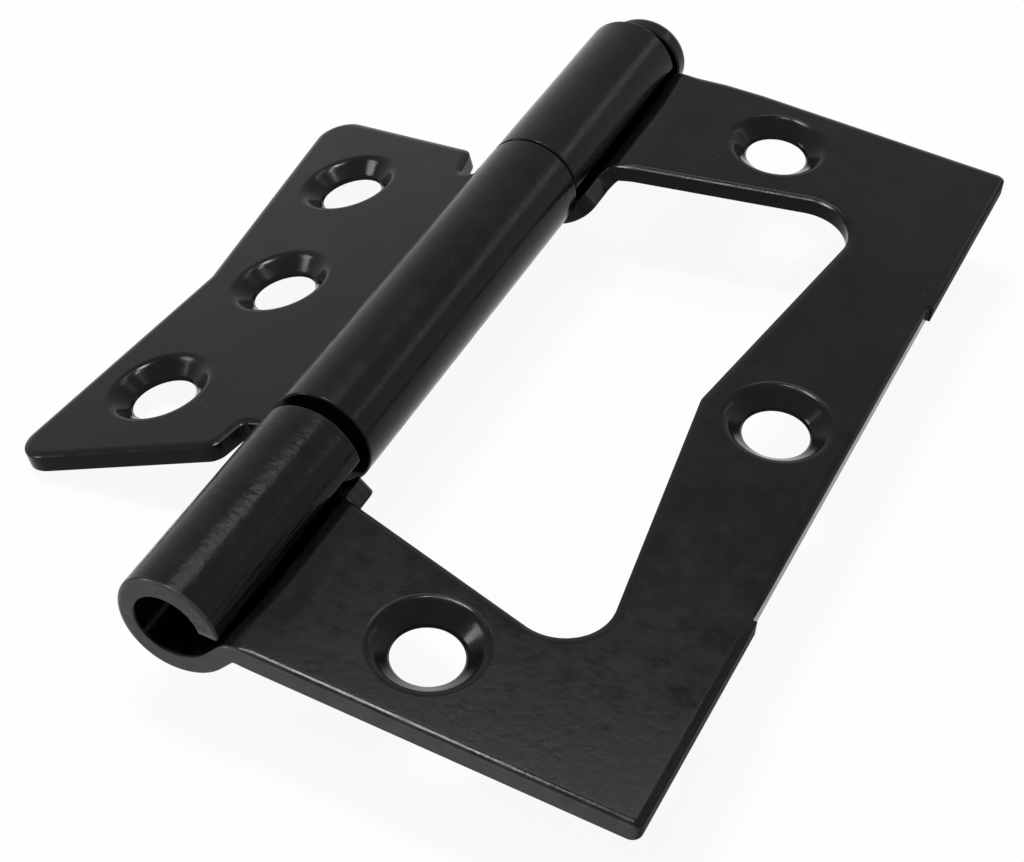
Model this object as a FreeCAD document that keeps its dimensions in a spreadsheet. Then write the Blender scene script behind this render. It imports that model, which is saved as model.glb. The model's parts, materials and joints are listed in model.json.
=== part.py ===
import FreeCAD, Part
import math
import os
import Sketcher

# Flush hinge of rolled steel sheet: two nesting leaves on one headed pin.
# The pin's axis is the Y axis, with the pin's head towards +Y. The outer leaf lies flat
# in the XY plane on the +X side, countersunk face up, and the sheet's middle is at z = 0.

Vector = FreeCAD.Vector
Rotation = FreeCAD.Rotation
doc = FreeCAD.newDocument("flush_hinge")

# Driving dimensions in millimetres and degrees
DIMENSIONS = [
    ("hinge_height", 76.2, "length of the barrel and of the outer leaf"),
    ("sheet_gauge", 1.5, "thickness of both leaves"),
    ("knuckle_radius", 4.17, "outside of the rolled knuckles"),
    ("lead_in_radius", 5.2, "outside of the slacker quarter turn where the sheet enters the roll"),
    ("flank_slope", 53.0, "slope of the short flank between roll and leaf"),
    ("crotch_radius", 0.45, "inside of the bend between flank and leaf"),
    ("free_end_lift", 0.85, "height of the rolled sheet's cut end over the pin's axis"),
    ("near_knuckle_length", 19.2, "outer leaf's knuckle at the open end of the bore"),
    ("far_knuckle_length", 20.7, "outer leaf's far end to its far knuckle's mouth"),
    ("far_end_setback", 0.8, "how far that knuckle's end is drawn in from the leaf's end"),
    ("far_end_taper", 4.5, "the leaf's far end runs out over this reach from the shoulders"),
    ("head_side_play", 0.15, "gap between centre knuckle and far knuckle"),
    ("open_side_play", 1.3, "gap between centre knuckle and near knuckle"),
    ("outer_leaf_reach", 35.0, "pin's axis to the outer leaf's long edge"),
    ("outer_corner_radius", 0.8, "corners of the outer leaf"),
    ("relief_depth", 0.3, "shallow relief along the outer leaf's long edge"),
    ("relief_length", 37.1, "length of that relief"),
    ("shoulder_reach", 5.4, "pin's axis to the window's shoulders"),
    ("shoulder_width", 2.75, "knuckle's mouth to the window's side wall, taken at the pin's axis"),
    ("window_flare", 14.5, "slope of the window's side walls"),
    ("rail_width", 12.1, "the outer leaf's long rail at its widest, half way along"),
    ("window_bow", 8.1, "slope of each half of the window's long wall"),
    ("window_offset", 0.17, "the window is this much nearer the leaf's near end than its far end"),
    ("window_corner_radius", 3.9, "the window's two deep corners"),
    ("wall_peak_radius", 2.0, "rounding in the middle of the long wall"),
    ("shoulder_fillet", 1.4, "corners between shoulder and side wall"),
    ("tab_corner_radius", 1.1, "corners of the shoulders beside the roll"),
    ("leaf_side_clearance", 2.1, "inner leaf to the window's side walls"),
    ("leaf_end_clearance", 1.0, "inner leaf to the window's long wall"),
    ("leaf_shoulder_clearance", 1.5, "inner leaf's shoulders to the outer leaf's"),
    ("leaf_offset", 0.2, "the inner leaf's middle is this much nearer the pin's head than its knuckle's"),
    ("leaf_bow", 7.1, "slope of each half of the inner leaf's long edge"),
    ("leaf_shoulder_slope", 13.0, "slope of the inner leaf's shoulders"),
    ("leaf_corner_radius", 2.4, "the inner leaf's two outer corners"),
    ("neck_fillet", 0.6, "corners between the inner leaf's neck and shoulders"),
    ("countersink_diameter", 8.2, "mouth of each screw hole"),
    ("countersink_angle", 100.0, "included angle of the countersinks"),
    ("screw_hole_diameter", 5.2, "screw hole at the back of the leaf"),
    ("outer_end_holes_reach", 16.3, "pin's axis to the outer leaf's two end holes"),
    ("outer_end_holes_margin", 6.45, "those holes to the leaf's ends, before the row is offset"),
    ("outer_holes_offset", 0.3, "the outer leaf's row of holes is this much nearer the far end"),
    ("outer_middle_hole_margin", 6.0, "the outer leaf's middle hole to its long edge"),
    ("inner_end_holes_setback", 4.9, "the middle of the inner leaf's long edge to its end holes' line"),
    ("inner_end_holes_inset", 2.7, "ends of the centre knuckle to the inner leaf's end holes"),
    ("inner_middle_hole_setback", 7.1, "the middle of the inner leaf's long edge to its middle hole"),
    ("pin_clearance", 0.05, "radial play of the pin in the knuckles"),
    ("pin_end_depth", 6.0, "pin's end inside the near knuckle's mouth"),
    ("pin_end_chamfer", 0.4, "chamfer at the pin's end"),
    ("pin_head_radius", 3.75, "pin's head"),
    ("pin_head_offset", 0.7, "the head is upset a little off the shank's centre, towards the outer leaf"),
    ("pin_head_gap", 0.5, "far knuckle's end to the head"),
    ("pin_head_rim", 1.4, "straight rim under the dome"),
    ("pin_head_dome", 1.3, "height of the dome over the rim"),
    ("fold_back_angle", 19.3, "how far the inner leaf is folded back beyond flat"),
]

sheet = doc.addObject("Spreadsheet::Sheet", "Sizes")
for row, (alias, number, note) in enumerate(DIMENSIONS, start=1):
    sheet.set(f"A{row}", alias)
    sheet.set(f"B{row}", str(number))
    sheet.set(f"C{row}", note)
    sheet.setAlias(f"B{row}", alias)
doc.recompute()

# Places worked out from the sheet, as expressions
HALF_HEIGHT = "Sizes.hinge_height / 2"
HALF_GAUGE = "Sizes.sheet_gauge / 2"
FAR_END = "(Sizes.hinge_height / 2 - Sizes.far_end_setback)"
HEAD_SEAT = f"({FAR_END} + Sizes.pin_head_gap)"
BORE_RADIUS = "(Sizes.knuckle_radius - Sizes.sheet_gauge)"
CLEAR_OF_ROLL = "(Sizes.lead_in_radius + Sizes.sheet_gauge)"
NEAR_MOUTH = "(Sizes.near_knuckle_length - Sizes.hinge_height / 2)"
FAR_MOUTH = "(Sizes.hinge_height / 2 - Sizes.far_knuckle_length)"
CENTRE_LOW = f"({NEAR_MOUTH} + Sizes.open_side_play)"
CENTRE_HIGH = f"({FAR_MOUTH} - Sizes.head_side_play)"
CENTRE_HALF = f"(({CENTRE_HIGH} - {CENTRE_LOW}) / 2)"
CENTRE_PLACE = f"(({CENTRE_HIGH} + {CENTRE_LOW}) / 2)"

FLARE = "tan(Sizes.window_flare * 1deg)"
WINDOW_BOW = "tan(Sizes.window_bow * 1deg)"
LEAF_BOW = "tan(Sizes.leaf_bow * 1deg)"
SHOULDER_SLOPE = "tan(Sizes.leaf_shoulder_slope * 1deg)"

# The window's side walls stand off the knuckles' mouths, and its long wall leaves the rail
WINDOW_HALF_MOUTH = f"(({FAR_MOUTH} - {NEAR_MOUTH}) / 2 + Sizes.shoulder_width)"
WINDOW_DEPTH = "(Sizes.outer_leaf_reach - Sizes.rail_width)"

# The inner leaf's outline is the window's, set back by its clearances
LEAF_HALF_MOUTH = f"({WINDOW_HALF_MOUTH} - Sizes.leaf_side_clearance / cos(Sizes.window_flare * 1deg))"
LEAF_DEPTH = f"({WINDOW_DEPTH} - Sizes.leaf_end_clearance / cos(Sizes.window_bow * 1deg))"
LEAF_SHOULDER = "(Sizes.shoulder_reach + Sizes.leaf_shoulder_clearance)"


def value(expression):
    """The number that an expression has now."""
    result = sheet.evalExpression(expression)
    return getattr(result, "Value", result)


def corner_place(half_mouth, depth, bow):
    """Where a flared side meets a bowed long side: (reach, half width), as expressions."""
    half_width = f"(({half_mouth} + {FLARE} * {depth}) / (1 - {FLARE} * {bow}))"
    return f"({depth} + {bow} * {half_width})", half_width


def new_sketch(body, name, role):
    """A sketch on one of the body's own origin planes."""
    plane = [feature for feature in body.Origin.OriginFeatures if feature.Role == role][0]
    sketch = body.newObject("Sketcher::SketchObject", name)
    sketch.AttachmentSupport = [(plane, "")]
    sketch.MapMode = "FlatFace"
    return sketch


def bind(sketch, constraint, expression):
    """Add a constraint whose size follows an expression."""
    number = sketch.addConstraint(constraint)
    sketch.setExpression(f"Constraints[{number}]", expression)


def place_point(sketch, line, end, x, y):
    """Tie a point of the sketch to a place given as two expressions."""
    bind(sketch, Sketcher.Constraint("DistanceX", -1, 1, line, end, value(x)), x)
    bind(sketch, Sketcher.Constraint("DistanceY", -1, 1, line, end, value(y)), y)


def draw_polygon(sketch, corners):
    """A closed outline whose corners are given as pairs of expressions."""
    places = [Vector(value(x), value(y), 0) for x, y in corners]
    lines = []
    for start, end in zip(places, places[1:] + places[:1]):
        lines.append(sketch.addGeometry(Part.LineSegment(start, end), False))
    for line, following in zip(lines, lines[1:] + lines[:1]):
        sketch.addConstraint(Sketcher.Constraint("Coincident", line, 2, following, 1))
    for line, (x, y) in zip(lines, corners):
        place_point(sketch, line, 1, x, y)


def on_circle(centre, radius, degrees):
    angle = math.radians(degrees)
    return centre + Vector(radius * math.cos(angle), radius * math.sin(angle), 0)


def arc(centre, radius, start, end):
    circle = Part.Circle(centre, Vector(0, 0, 1), radius)
    return Part.ArcOfCircle(circle, math.radians(start), math.radians(end))


def draw_rolled_section(sketch, reach):
    """The sheet seen along the pin: cut end, roll, slacker lead-in, flank, bend and flat leaf."""
    gauge = value("Sizes.sheet_gauge")
    knuckle = value("Sizes.knuckle_radius")
    lead_in = value("Sizes.lead_in_radius")
    crotch = value("Sizes.crotch_radius")
    lift = value("Sizes.free_end_lift")
    turn = 90 - value("Sizes.flank_slope")
    reach_now = value(reach)

    # Centres: the roll's is the pin's axis, the lead-in's is straight above it, and the bend's
    # lies below the leaf, where the flank touches both the lead-in and the bend
    axis = Vector(0, 0, 0)
    lead_centre = Vector(0, lead_in - knuckle, 0)
    drop = gauge / 2 + crotch + lead_centre.y
    sine = math.sin(math.radians(turn))
    cosine = math.cos(math.radians(turn))
    bend_centre = Vector((lead_in + crotch - drop * sine) / cosine, -gauge / 2 - crotch, 0)

    outer_end = math.degrees(math.asin(lift / knuckle))
    inner_end = math.degrees(math.asin(lift / (knuckle - gauge)))
    top = gauge / 2
    right = Vector(reach_now, 0, 0)

    shapes = [
        arc(axis, knuckle, outer_end, 270),
        arc(lead_centre, lead_in, 270, 360 - turn),
        Part.LineSegment(on_circle(lead_centre, lead_in, -turn), on_circle(bend_centre, crotch, 180 - turn)),
        arc(bend_centre, crotch, 90, 180 - turn),
        Part.LineSegment(Vector(bend_centre.x, -top, 0), right + Vector(0, -top, 0)),
        Part.LineSegment(right + Vector(0, -top, 0), right + Vector(0, top, 0)),
        Part.LineSegment(right + Vector(0, top, 0), Vector(bend_centre.x, top, 0)),
        arc(bend_centre, crotch + gauge, 90, 180 - turn),
        Part.LineSegment(on_circle(bend_centre, crotch + gauge, 180 - turn),
                         on_circle(lead_centre, lead_in - gauge, -turn)),
        arc(lead_centre, lead_in - gauge, 270, 360 - turn),
        arc(axis, knuckle - gauge, inner_end, 270),
        Part.LineSegment(on_circle(axis, knuckle - gauge, inner_end), on_circle(axis, knuckle, outer_end)),
    ]
    names = ("roll", "lead", "flank", "crotch", "back", "edge",
             "face", "crest", "slope", "bed", "bore", "cut")
    part = {name: sketch.addGeometry(shape, False) for name, shape in zip(names, shapes)}

    def tie(kind, *places):
        sketch.addConstraint(Sketcher.Constraint(kind, *places))

    # Each pair of neighbours meets at one point: smoothly, or at the corners of the two cut ends
    tie("Tangent", part["roll"], 2, part["lead"], 1)
    tie("Tangent", part["lead"], 2, part["flank"], 1)
    tie("Tangent", part["flank"], 2, part["crotch"], 2)
    tie("Tangent", part["crotch"], 1, part["back"], 1)
    tie("Coincident", part["back"], 2, part["edge"], 1)
    tie("Coincident", part["edge"], 2, part["face"], 1)
    tie("Tangent", part["face"], 2, part["crest"], 1)
    tie("Tangent", part["crest"], 2, part["slope"], 1)
    tie("Tangent", part["slope"], 2, part["bed"], 2)
    tie("Tangent", part["bed"], 1, part["bore"], 2)
    tie("Coincident", part["bore"], 1, part["cut"], 1)
    tie("Coincident", part["cut"], 2, part["roll"], 1)

    # Shared centres keep the sheet's thickness the same all the way round
    tie("Coincident", part["roll"], 3, -1, 1)
    tie("Coincident", part["bore"], 3, -1, 1)
    tie("PointOnObject", part["lead"], 3, -2)
    tie("Coincident", part["bed"], 3, part["lead"], 3)
    tie("Coincident", part["crest"], 3, part["crotch"], 3)
    tie("Horizontal", part["back"])
    tie("Horizontal", part["face"])
    tie("Vertical", part["edge"])
    tie("Horizontal", part["cut"])

    constraint = Sketcher.Constraint
    bind(sketch, constraint("Radius", part["roll"], knuckle), "Sizes.knuckle_radius")
    bind(sketch, constraint("Radius", part["bore"], knuckle - gauge), BORE_RADIUS)
    bind(sketch, constraint("Radius", part["lead"], lead_in), "Sizes.lead_in_radius")
    bind(sketch, constraint("Radius", part["crotch"], crotch), "Sizes.crotch_radius")
    bind(sketch, constraint("Angle", part["flank"], math.radians(90 - turn)), "Sizes.flank_slope * 1deg")
    bind(sketch, constraint("DistanceY", -1, 1, part["cut"], 1, lift), "Sizes.free_end_lift")
    bind(sketch, constraint("DistanceY", part["back"], 2, -1, 1, top), HALF_GAUGE)
    bind(sketch, constraint("DistanceY", -1, 1, part["face"], 1, top), HALF_GAUGE)
    bind(sketch, constraint("DistanceX", -1, 1, part["edge"], 1, reach_now), reach)


def rolled_blank(body, reach, width):
    """Carry the rolled section along the pin's axis, half to each side."""
    section = new_sketch(body, body.Name + "_section", "XZ_Plane")
    draw_rolled_section(section, reach)
    blank = body.newObject("PartDesign::Pad", body.Name + "_blank")
    blank.Profile = section
    blank.SideType = "Symmetric"
    blank.setExpression("Length", width)
    doc.recompute()
    return blank


def cut_through(body, name, outlines):
    """Cut closed outlines, drawn on the leaf's middle plane, right through the blank."""
    sketch = new_sketch(body, name + "_outline", "XY_Plane")
    for corners in outlines:
        draw_polygon(sketch, corners)
    before = body.Shape.Volume
    cut = body.newObject("PartDesign::Pocket", name)
    cut.Profile = sketch
    cut.SideType = "Symmetric"
    cut.Type = "Length"
    cut.setExpression("Length", f"4 * {CLEAR_OF_ROLL}")
    doc.recompute()
    if body.Shape.Volume >= before:
        raise RuntimeError(name + " removed nothing")
    return cut


def round_upright_edges(body, name, places, radius):
    """Round the edges that stand square to the leaf at the places given as expressions."""
    shape = body.Tip.Shape
    wanted = [(value(x), value(y)) for x, y in places]
    reach = 0.02
    found = []
    for number, edge in enumerate(shape.Edges, start=1):
        box = edge.BoundBox
        upright = box.XLength < reach and box.YLength < reach and box.ZLength > reach
        near = [1 for x, y in wanted if abs(box.Center.x - x) < reach and abs(box.Center.y - y) < reach]
        if upright and near:
            found.append(f"Edge{number}")
    if len(found) != len(places):
        raise RuntimeError(f"{name}: {len(found)} edges for {len(places)} corners")
    fillet = body.newObject("PartDesign::Fillet", name)
    fillet.Base = (body.Tip if body.Tip != fillet else fillet.BaseFeature, found)
    fillet.setExpression("Radius", radius)
    doc.recompute()
    return fillet


def screw_holes(body, name, places):
    """Countersunk screw holes from the leaf's upper face."""
    sketch = new_sketch(body, name + "_centres", "XY_Plane")
    sketch.setExpression(".AttachmentOffset.Base.z", HALF_GAUGE)
    radius = value("Sizes.screw_hole_diameter") / 2
    for x, y in places:
        circle = Part.Circle(Vector(value(x), value(y), 0), Vector(0, 0, 1), radius)
        number = sketch.addGeometry(circle, False)
        bind(sketch, Sketcher.Constraint("Diameter", number, 2 * radius), "Sizes.screw_hole_diameter")
        place_point(sketch, number, 3, x, y)
    before = body.Shape.Volume
    hole = body.newObject("PartDesign::Hole", name)
    hole.Profile = sketch
    doc.recompute()
    hole.DepthType = "ThroughAll"
    hole.DrillPoint = "Flat"
    hole.HoleCutType = "Countersink"
    hole.setExpression("Diameter", "Sizes.screw_hole_diameter")
    hole.setExpression("HoleCutDiameter", "Sizes.countersink_diameter")
    hole.setExpression("HoleCutCountersinkAngle", "Sizes.countersink_angle")
    doc.recompute()
    if body.Shape.Volume >= before:
        raise RuntimeError(name + " removed nothing")
    return hole


def make_outer_leaf():
    """Frame-shaped leaf with a rolled knuckle at each end and a window for the inner leaf."""
    body = doc.addObject("PartDesign::Body", "outer_leaf")
    rolled_blank(body, "Sizes.outer_leaf_reach", "Sizes.hinge_height")

    corner_reach, corner_half = corner_place(WINDOW_HALF_MOUTH, WINDOW_DEPTH, WINDOW_BOW)
    shoulder = "Sizes.shoulder_reach"
    shoulder_half = f"({WINDOW_HALF_MOUTH} + {FLARE} * {shoulder})"
    behind = f"(-{CLEAR_OF_ROLL})"
    offset = "Sizes.window_offset"
    window = [
        (behind, NEAR_MOUTH),
        (shoulder, NEAR_MOUTH),
        (shoulder, f"(-{shoulder_half} - {offset})"),
        (corner_reach, f"(-{corner_half} - {offset})"),
        (WINDOW_DEPTH, f"(-{offset})"),
        (corner_reach, f"({corner_half} - {offset})"),
        (shoulder, f"({shoulder_half} - {offset})"),
        (shoulder, FAR_MOUTH),
        (behind, FAR_MOUTH),
    ]
    cut_through(body, "window", [window])

    # The far knuckle's end is drawn in, and the leaf's end slopes out again beside it
    taper_end = f"({shoulder} + Sizes.far_end_taper)"
    past_end = f"({HALF_HEIGHT} + Sizes.far_end_setback)"
    drawn_in = [
        (behind, FAR_END),
        (shoulder, FAR_END),
        (taper_end, HALF_HEIGHT),
        (taper_end, past_end),
        (behind, past_end),
    ]
    cut_through(body, "drawn_in_end", [drawn_in])

    relief_floor = "(Sizes.outer_leaf_reach - Sizes.relief_depth)"
    relief_mouth = "(Sizes.outer_leaf_reach + Sizes.relief_depth)"
    relief_half = "(Sizes.relief_length / 2)"
    relief = [
        (relief_floor, f"(-{relief_half})"),
        (relief_mouth, f"(-{relief_half})"),
        (relief_mouth, relief_half),
        (relief_floor, relief_half),
    ]
    cut_through(body, "edge_relief", [relief])

    round_upright_edges(body, "window_corners", [window[3], window[5]], "Sizes.window_corner_radius")
    round_upright_edges(body, "wall_peak", [window[4]], "Sizes.wall_peak_radius")
    round_upright_edges(body, "shoulder_fillets", [window[2], window[6]], "Sizes.shoulder_fillet")
    round_upright_edges(body, "tab_corners", [window[1], window[7]], "Sizes.tab_corner_radius")
    ends = [("Sizes.outer_leaf_reach", HALF_HEIGHT), ("Sizes.outer_leaf_reach", f"(-{HALF_HEIGHT})")]
    round_upright_edges(body, "leaf_corners", ends, "Sizes.outer_corner_radius")

    half_pitch = f"({HALF_HEIGHT} - Sizes.outer_end_holes_margin)"
    row = "Sizes.outer_holes_offset"
    holes = [
        ("Sizes.outer_end_holes_reach", f"({row} - {half_pitch})"),
        ("(Sizes.outer_leaf_reach - Sizes.outer_middle_hole_margin)", row),
        ("Sizes.outer_end_holes_reach", f"({row} + {half_pitch})"),
    ]
    screw_holes(body, "outer_screw_holes", holes)
    return body


def make_inner_leaf():
    """Small leaf that fills the window when the hinge is closed, with the centre knuckle."""
    body = doc.addObject("PartDesign::Body", "inner_leaf")
    corner_reach, corner_half = corner_place(LEAF_HALF_MOUTH, LEAF_DEPTH, LEAF_BOW)
    offset = "Sizes.leaf_offset"
    rolled_blank(body, corner_reach, f"2 * ({corner_half} + {offset})")

    # Each shoulder slopes away from the neck until it meets the flared side. The leaf is drawn
    # with the head's side towards -Y, before it is turned
    def shoulder_step(shift):
        neck_to_side = f"({LEAF_HALF_MOUTH} + {FLARE} * {LEAF_SHOULDER} {shift} {offset} - {CENTRE_HALF})"
        return f"({neck_to_side} / (1 - {FLARE} * {SHOULDER_SLOPE}))"

    head_step, open_step = shoulder_step("+"), shoulder_step("-")
    behind = f"(-{CLEAR_OF_ROLL})"
    leaf = [
        (behind, f"(-{CENTRE_HALF})"),
        (LEAF_SHOULDER, f"(-{CENTRE_HALF})"),
        (f"({LEAF_SHOULDER} + {SHOULDER_SLOPE} * {head_step})", f"(-{CENTRE_HALF} - {head_step})"),
        (corner_reach, f"(-{corner_half} - {offset})"),
        (LEAF_DEPTH, f"(-{offset})"),
        (corner_reach, f"({corner_half} - {offset})"),
        (f"({LEAF_SHOULDER} + {SHOULDER_SLOPE} * {open_step})", f"({CENTRE_HALF} + {open_step})"),
        (LEAF_SHOULDER, CENTRE_HALF),
        (behind, CENTRE_HALF),
    ]
    margin = "Sizes.sheet_gauge"
    past_corner = f"({corner_reach} + {margin})"
    past_side = f"({corner_half} + {offset} + {margin})"
    past_roll = f"({behind} - {margin})"
    around = [
        (past_roll, f"(-{past_side})"),
        (past_corner, f"(-{past_side})"),
        (past_corner, past_side),
        (past_roll, past_side),
    ]
    cut_through(body, "trim", [around, leaf])

    round_upright_edges(body, "trimmed_corners", [leaf[3], leaf[5]], "Sizes.leaf_corner_radius")
    round_upright_edges(body, "trimmed_peak", [leaf[4]], "Sizes.wall_peak_radius")
    round_upright_edges(body, "trimmed_shoulders", [leaf[2], leaf[6]], "Sizes.shoulder_fillet")
    round_upright_edges(body, "neck_fillets", [leaf[1], leaf[7]], "Sizes.neck_fillet")

    half_pitch = f"({CENTRE_HALF} - Sizes.inner_end_holes_inset)"
    end_reach = f"({LEAF_DEPTH} - Sizes.inner_end_holes_setback)"
    holes = [
        (end_reach, f"(-{half_pitch} - {offset})"),
        (f"({LEAF_DEPTH} - Sizes.inner_middle_hole_setback)", f"(-{offset})"),
        (end_reach, f"({half_pitch} - {offset})"),
    ]
    screw_holes(body, "inner_screw_holes", holes)

    # Turned to the other side of the pin, then folded back past flat
    fold = Rotation(Vector(0, 1, 0), -value("Sizes.fold_back_angle"))
    turn = Rotation(Vector(0, 0, 1), 180)
    body.Placement = FreeCAD.Placement(Vector(0, value(CENTRE_PLACE), 0), fold * turn)
    return body


def turn_profile(body, name, corners, crown=None, offset="0"):
    """Turn a profile about a line along the pin; crown is the height of a dome over its last corner."""
    sketch = new_sketch(body, name + "_profile", "XY_Plane")
    sketch.setExpression(".AttachmentOffset.Base.x", offset)
    places = [Vector(value(x), value(y), 0) for x, y in corners]
    lines = []
    for start, finish in zip(places, places[1:]):
        lines.append(sketch.addGeometry(Part.LineSegment(start, finish), False))
    for line, following in zip(lines, lines[1:]):
        sketch.addConstraint(Sketcher.Constraint("Coincident", line, 2, following, 1))
    for line, (x, y) in zip(lines, corners):
        place_point(sketch, line, 1, x, y)
    place_point(sketch, lines[-1], 2, *corners[-1])

    if crown is None:
        core = sketch.addGeometry(Part.LineSegment(places[-1], places[0]), False)
        sketch.addConstraint(Sketcher.Constraint("Coincident", lines[-1], 2, core, 1))
    else:
        # The dome's centre is on the axis, as far below its top as its radius
        rim, height = places[-1], value(crown)
        top = f"({corners[-1][1]} + {crown})"
        radius = (rim.x ** 2 + height ** 2) / (2 * height)
        centre = Vector(0, value(top) - radius, 0)
        rim_angle = math.degrees(math.asin((radius - height) / radius))
        dome = sketch.addGeometry(arc(centre, radius, rim_angle, 90), False)
        core = sketch.addGeometry(Part.LineSegment(Vector(0, value(top), 0), places[0]), False)
        sketch.addConstraint(Sketcher.Constraint("Coincident", lines[-1], 2, dome, 1))
        sketch.addConstraint(Sketcher.Constraint("Coincident", dome, 2, core, 1))
        sketch.addConstraint(Sketcher.Constraint("PointOnObject", dome, 3, -2))
        place_point(sketch, core, 1, "0", top)
    sketch.addConstraint(Sketcher.Constraint("Coincident", core, 2, lines[0], 1))

    turned = body.newObject("PartDesign::Revolution", name)
    turned.Profile = sketch
    turned.ReferenceAxis = (sketch, ["V_Axis"])
    turned.Angle = 360
    doc.recompute()
    return turned


def make_pin():
    """Plain pin with a domed head over the far knuckle."""
    body = doc.addObject("PartDesign::Body", "hinge_pin")
    shank = f"({BORE_RADIUS} - Sizes.pin_clearance)"
    end = f"(Sizes.pin_end_depth - {HALF_HEIGHT})"
    chamfer = "Sizes.pin_end_chamfer"
    turn_profile(body, "turned_shank", [
        ("0", end),
        (f"({shank} - {chamfer})", end),
        (shank, f"({end} + {chamfer})"),
        (shank, HEAD_SEAT),
        ("0", HEAD_SEAT),
    ])
    head = "Sizes.pin_head_radius"
    turn_profile(body, "upset_head", [
        ("0", HEAD_SEAT),
        (head, HEAD_SEAT),
        (head, f"({HEAD_SEAT} + Sizes.pin_head_rim)"),
    ], crown="Sizes.pin_head_dome", offset="Sizes.pin_head_offset")
    return body


bodies = [make_outer_leaf(), make_inner_leaf(), make_pin()]
doc.recompute()

for item in doc.Objects:
    if "Invalid" in item.State or "Error" in item.State:
        raise RuntimeError(f"{item.Name} did not build: {item.State}")

os.makedirs("parts", exist_ok=True)
for body in bodies:
    shape = body.Shape
    if shape.isNull() or not shape.isValid() or len(shape.Solids) != 1:
        raise RuntimeError(body.Label + " is not one valid solid")
    shape.exportStep(os.path.join("parts", body.Label + ".step"))
    print(f"{body.Label}: {shape.Volume:.1f} mm3, box {shape.BoundBox}")
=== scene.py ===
import json
import math
import bpy
import numpy as np
from mathutils import Euler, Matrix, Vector
from mathutils.geometry import delaunay_2d_cdt


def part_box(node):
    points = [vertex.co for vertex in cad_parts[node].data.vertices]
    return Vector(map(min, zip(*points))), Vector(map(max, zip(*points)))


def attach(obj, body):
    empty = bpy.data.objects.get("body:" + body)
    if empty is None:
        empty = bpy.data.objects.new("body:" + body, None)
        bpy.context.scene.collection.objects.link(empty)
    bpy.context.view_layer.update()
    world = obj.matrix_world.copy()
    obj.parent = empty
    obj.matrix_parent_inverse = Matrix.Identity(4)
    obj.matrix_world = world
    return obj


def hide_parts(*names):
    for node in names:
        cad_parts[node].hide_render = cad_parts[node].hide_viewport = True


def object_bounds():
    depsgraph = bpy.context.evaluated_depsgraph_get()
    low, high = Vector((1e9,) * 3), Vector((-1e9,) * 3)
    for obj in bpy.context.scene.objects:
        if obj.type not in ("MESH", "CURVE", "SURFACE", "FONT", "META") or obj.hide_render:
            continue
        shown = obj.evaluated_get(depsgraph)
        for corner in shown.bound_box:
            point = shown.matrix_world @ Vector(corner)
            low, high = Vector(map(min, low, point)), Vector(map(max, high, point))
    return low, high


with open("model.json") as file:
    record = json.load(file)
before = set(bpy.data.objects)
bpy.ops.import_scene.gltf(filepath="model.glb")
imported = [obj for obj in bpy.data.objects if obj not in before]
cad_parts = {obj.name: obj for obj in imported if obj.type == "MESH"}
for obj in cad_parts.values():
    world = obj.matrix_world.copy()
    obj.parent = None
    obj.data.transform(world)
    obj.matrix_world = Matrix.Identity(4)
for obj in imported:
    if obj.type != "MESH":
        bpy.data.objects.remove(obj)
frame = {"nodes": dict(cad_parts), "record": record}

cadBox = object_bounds()
scene = bpy.context.scene
mm = 0.001
mounts = {m["name"]: m for m in frame["record"]["mounts"]}
bodyOf = {node: body for body, nodes in frame["record"]["behaviour"]["bodies"].items() for node in nodes}
print("frame loaded", sorted(frame["nodes"]))

# Camera first: the photo's viewing angle, in millimetres and degrees
photoCamera = {
    "place": (57.66, -114.76, 114.31),
    "turn": (44.987, -3.716, 26.228),
    "lens": 76.65,
    "sensor": 36.0,
    "shift": (-0.029, 0.0),
    "clip": (0.005, 20),  # in metres
}


def makeCamera():
    # A point shows at the lens over the sensor's width times its offset over its depth, less the shift
    data = bpy.data.cameras.new("photoCamera")
    camera = bpy.data.objects.new("photoCamera", data)
    scene.collection.objects.link(camera)
    camera.location = Vector(photoCamera["place"]) * mm
    camera.rotation_euler = Euler([math.radians(a) for a in photoCamera["turn"]])
    data.lens, data.sensor_width = photoCamera["lens"], photoCamera["sensor"]
    data.shift_x, data.shift_y = photoCamera["shift"]
    data.clip_start, data.clip_end = photoCamera["clip"]
    scene.camera = camera


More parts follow.
